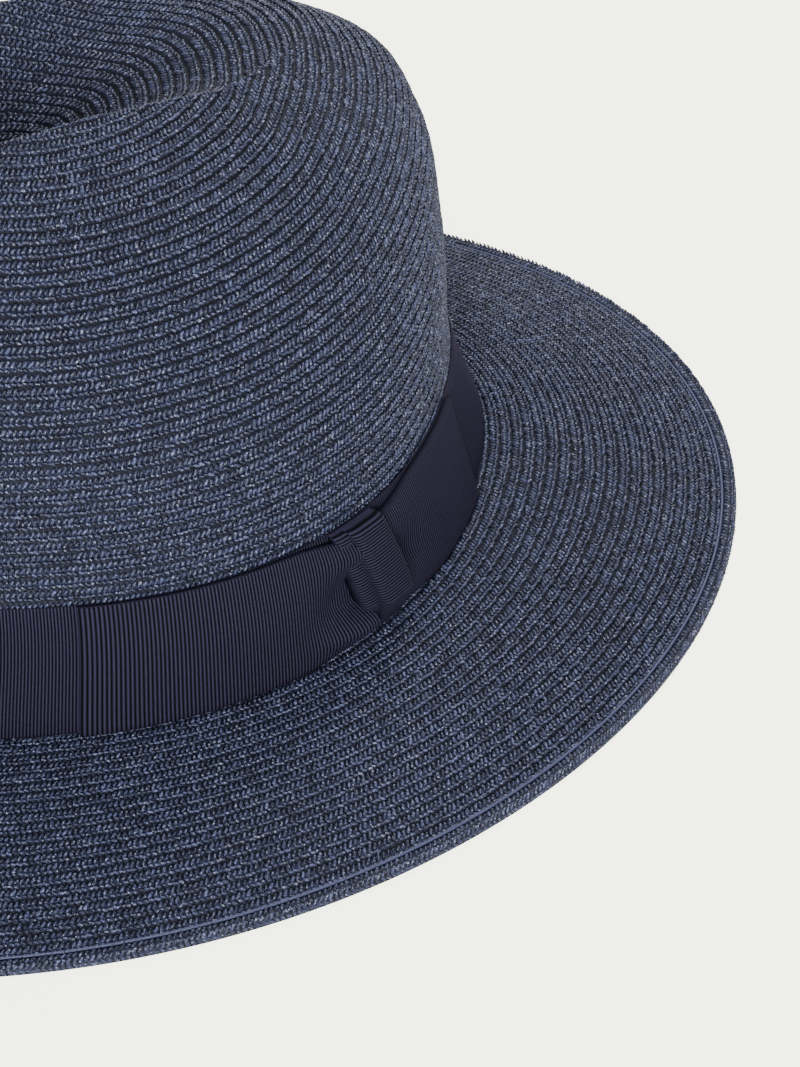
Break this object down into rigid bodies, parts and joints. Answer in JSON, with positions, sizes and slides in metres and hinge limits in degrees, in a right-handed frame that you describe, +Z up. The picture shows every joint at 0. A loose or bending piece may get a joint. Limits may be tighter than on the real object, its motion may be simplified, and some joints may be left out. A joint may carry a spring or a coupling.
{
  "type": "fedora hat",
  "caption": "Braided fedora with a teardrop crown, a curved brim, a ribbed ribbon band with a flat bow, and an inner sweatband.",
  "frame": {"origin": "middle of the hat's footprint, on the plane that the brim's edge rests on", "axes": "+Z up, -Y towards the front of the hat, +X towards the wearer's left, where the bow is"},
  "size_m": [0.294, 0.331, 0.1403],
  "materials": {
    "crown_braid": "matte plaited braid with lighter fibre flecks",
    "brim_braid": "matte plaited braid with lighter fibre flecks",
    "brim_edge_row": "matte plaited braid, last turn",
    "brim_wire": "drawn steel wire, hidden in the edge row",
    "brim_edge_thread": "sewing thread",
    "hat_band": "ribbed grosgrain ribbon",
    "band_tacking_stitches": "sewing thread",
    "bow_front_loop": "ribbed grosgrain ribbon",
    "bow_back_loop": "ribbed grosgrain ribbon",
    "bow_knot": "ribbed grosgrain ribbon",
    "sweatband": "smooth vegetable-tanned leather",
    "sweatband_reed": "extruded reed",
    "sweatband_stitching": "waxed thread",
    "sweatband_seam_cover": "smooth leather",
    "sweatband_bow": "narrow satin ribbon",
    "size_label": "plain woven tape, no text"
  },
  "bodies": {
    "root": {"crown_braid": "crown_braid", "brim_braid": "brim_braid", "brim_edge_row": "brim_edge_row", "brim_wire": "brim_wire", "brim_edge_thread": "brim_edge_thread", "hat_band": "hat_band", "band_tacking_stitches": "band_tacking_stitches", "bow_front_loop": "bow_front_loop", "bow_back_loop": "bow_back_loop", "bow_knot": "bow_knot", "sweatband": "sweatband", "sweatband_reed": "sweatband_reed", "sweatband_stitching": "sweatband_stitching", "sweatband_seam_cover": "sweatband_seam_cover", "sweatband_bow": "sweatband_bow", "size_label": "size_label"}
  },
  "joints": []
}
